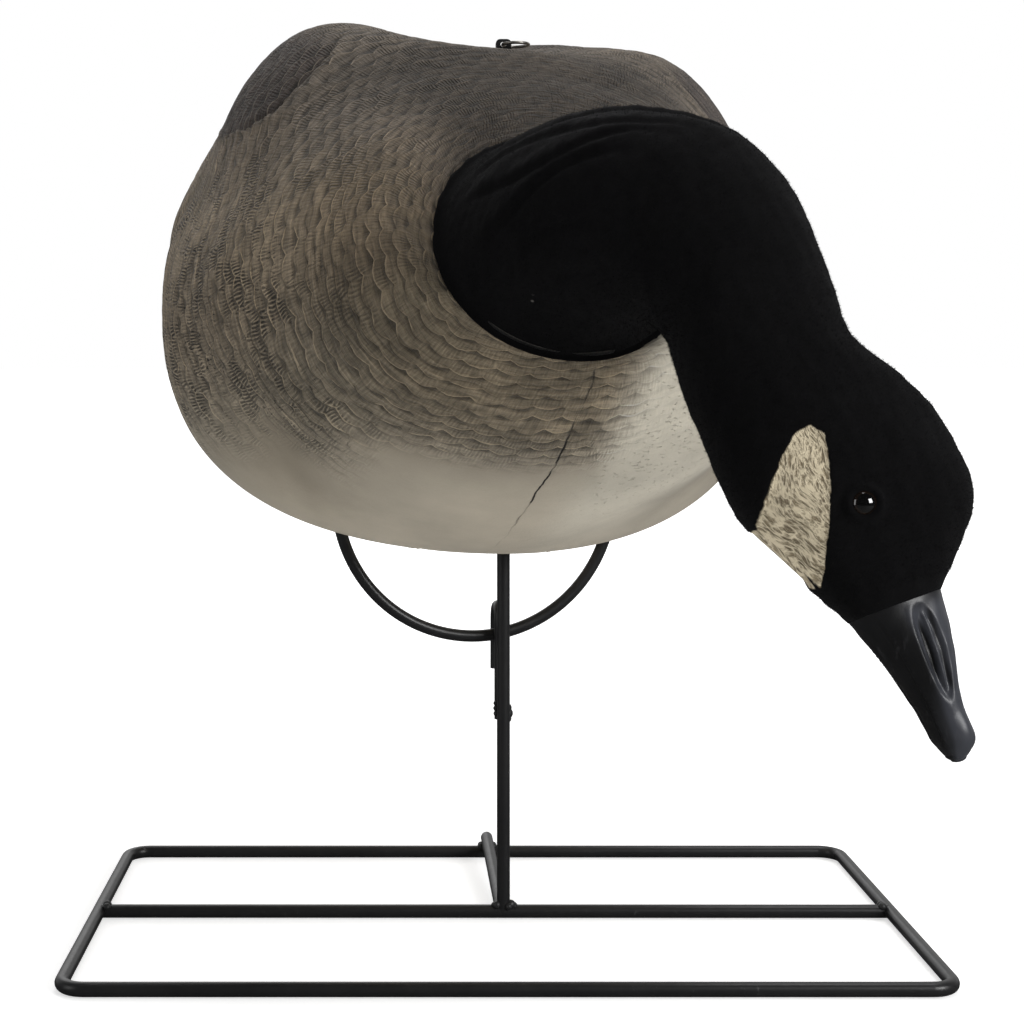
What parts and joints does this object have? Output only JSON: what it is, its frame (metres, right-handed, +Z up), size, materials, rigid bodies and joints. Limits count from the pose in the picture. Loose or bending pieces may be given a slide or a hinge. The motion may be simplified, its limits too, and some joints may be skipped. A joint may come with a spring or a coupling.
{
  "type": "goose decoy",
  "caption": "Feeding goose decoy with a flocked neck, hung from a ball on a wire stand so it turns and rocks.",
  "frame": {"origin": "ground level directly under the post, where the post stands on the cross bar", "axes": "+Z up; -Y is the way the bird looks when it is square to its stand; +X towards the bird's left"},
  "size_m": [0.3922, 0.6477, 0.4564],
  "materials": {
    "rod_paint": "semi-gloss black powder coat",
    "hoop_paint": "semi-gloss black powder coat",
    "weld_paint": "black powder coat over weld bead",
    "ring_steel": "blackened spring steel",
    "shoulder_steel": "zinc plated",
    "fastener_zinc": "zinc plated",
    "ball_nylon": "natural nylon",
    "cup_plastic": "moulded black acetal",
    "boss_plastic": "moulded plastic",
    "rubber_black": "soft black rubber",
    "plumage_left": "hand-painted carved feather relief",
    "plumage_right": "hand-painted carved feather relief",
    "socket_plastic": "moulded plastic",
    "spigot_plastic": "moulded plastic",
    "flock_black": "black velvet flock over moulded plastic",
    "bill_gloss": "glossy black paint",
    "eye_gloss": "polished dark brown"
  },
  "bodies": {
    "stand": {"base_frame": "rod_paint", "base_cross_bar": "rod_paint", "base_spine_bar": "rod_paint", "post": "rod_paint", "keeper_hook": "rod_paint", "stand_welds": "weld_paint", "post_shoulder": "shoulder_steel"},
    "ring": {"retaining_ring": "ring_steel"},
    "swivel": {"pivot_ball": "ball_nylon"},
    "decoy": {"pivot_cup": "cup_plastic", "back_grommet": "rubber_black", "belly_slot_liner": "rubber_black", "body_shell_left": "plumage_left", "body_shell_right": "plumage_right", "hoop": "hoop_paint", "hoop_bosses": "boss_plastic", "hoop_washers": "fastener_zinc", "hoop_nuts": "fastener_zinc", "neck_socket": "socket_plastic"},
    "head": {"neck_spigot": "spigot_plastic", "neck_head": "flock_black", "bill": "bill_gloss", "eye_right": "eye_gloss", "eye_left": "eye_gloss"}
  },
  "joints": [
    {"name": "body_turn", "type": "hinge", "parent": "stand", "child": "swivel", "pos_m": [0, 0, 0.4], "axis": [0, 0, 1], "range_deg": [-23, 17]},
    {"name": "body_rock", "type": "hinge", "parent": "swivel", "child": "decoy", "pos_m": [0, 0, 0.4], "axis": [0.1908, -0.9816, 0], "range_deg": [-2.9, 9.1]},
    {"name": "neck_pull_off", "type": "slide", "parent": "decoy", "child": "head", "axis": [0.188, -0.809, 0.5569], "range_m": [0, 0.032]},
    {"name": "ring_swing", "type": "hinge", "parent": "stand", "child": "ring", "pos_m": [0, 0, 0.4259], "axis": [0, -1, 0], "range_deg": [0, 180]}
  ]
}
